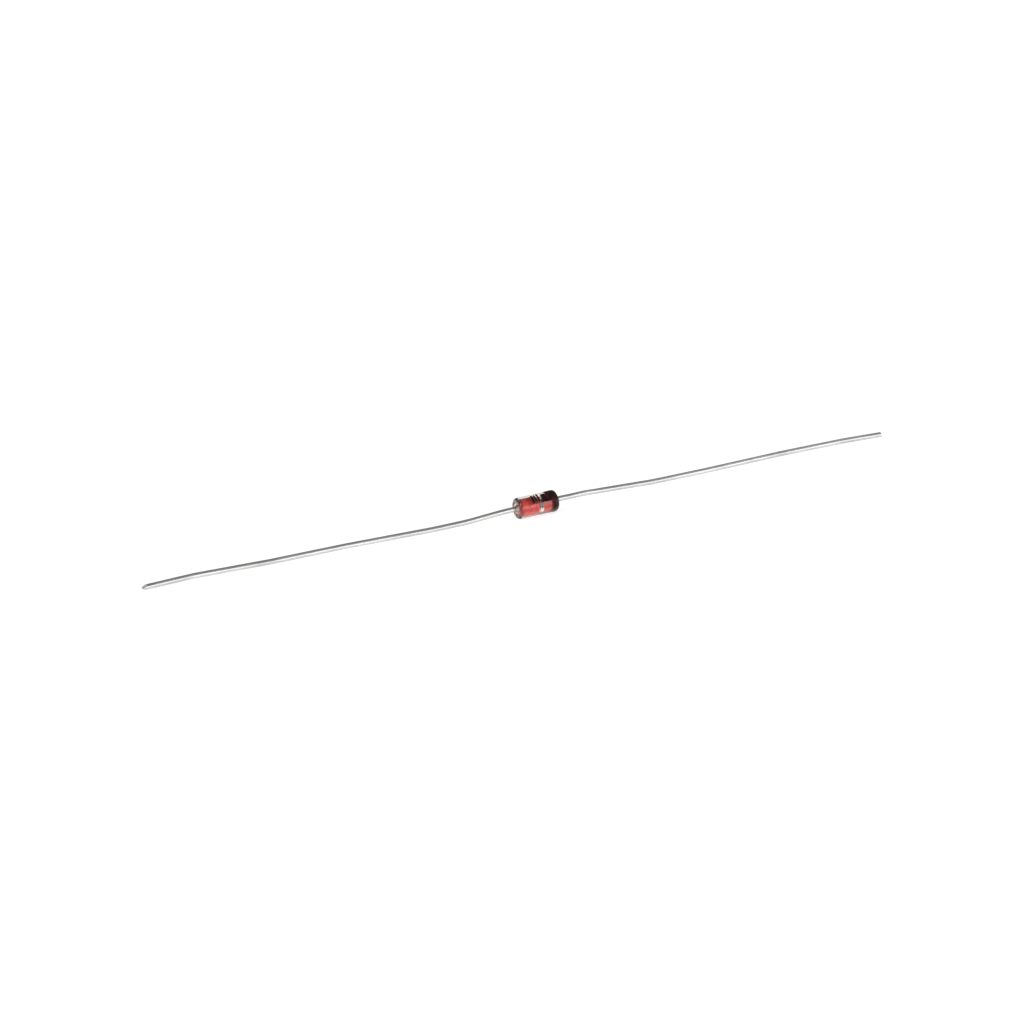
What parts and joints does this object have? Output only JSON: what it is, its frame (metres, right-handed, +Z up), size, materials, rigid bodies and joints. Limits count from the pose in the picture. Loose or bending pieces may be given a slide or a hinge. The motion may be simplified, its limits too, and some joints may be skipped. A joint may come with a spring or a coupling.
{
  "type": "zener diode",
  "caption": "Axial-leaded glass diode: clear fused sleeve over red copper-clad studs and a silicon die, dark cathode band, tinned wire leads bent a little by handling.",
  "frame": {"origin": "on the surface that the diode lies on, straight below the middle of the glass body", "axes": "+X along the glass body towards the cathode band and cathode lead, +Z up from the surface, +Y to the side that the anode lead bends towards"},
  "size_m": [0.0658, 0.0032, 0.0018],
  "materials": {
    "clear_glass": "clear fire-polished lead glass",
    "copper_clad_stud": "red copper oxide under borate glaze",
    "silicon": "polished silicon with sawn edges",
    "silver": "matt plated silver",
    "tinned_wire": "satin tin plating with faint draw lines",
    "black_ink": "baked black marking ink, slightly worn"
  },
  "bodies": {
    "root": {"glass_sleeve": "clear_glass", "anode_stud": "copper_clad_stud", "cathode_stud": "copper_clad_stud", "silicon_die": "silicon", "contact_bump": "silver", "anode_lead": "tinned_wire", "cathode_lead": "tinned_wire", "cathode_band": "black_ink", "type_bars": "black_ink"}
  },
  "joints": []
}
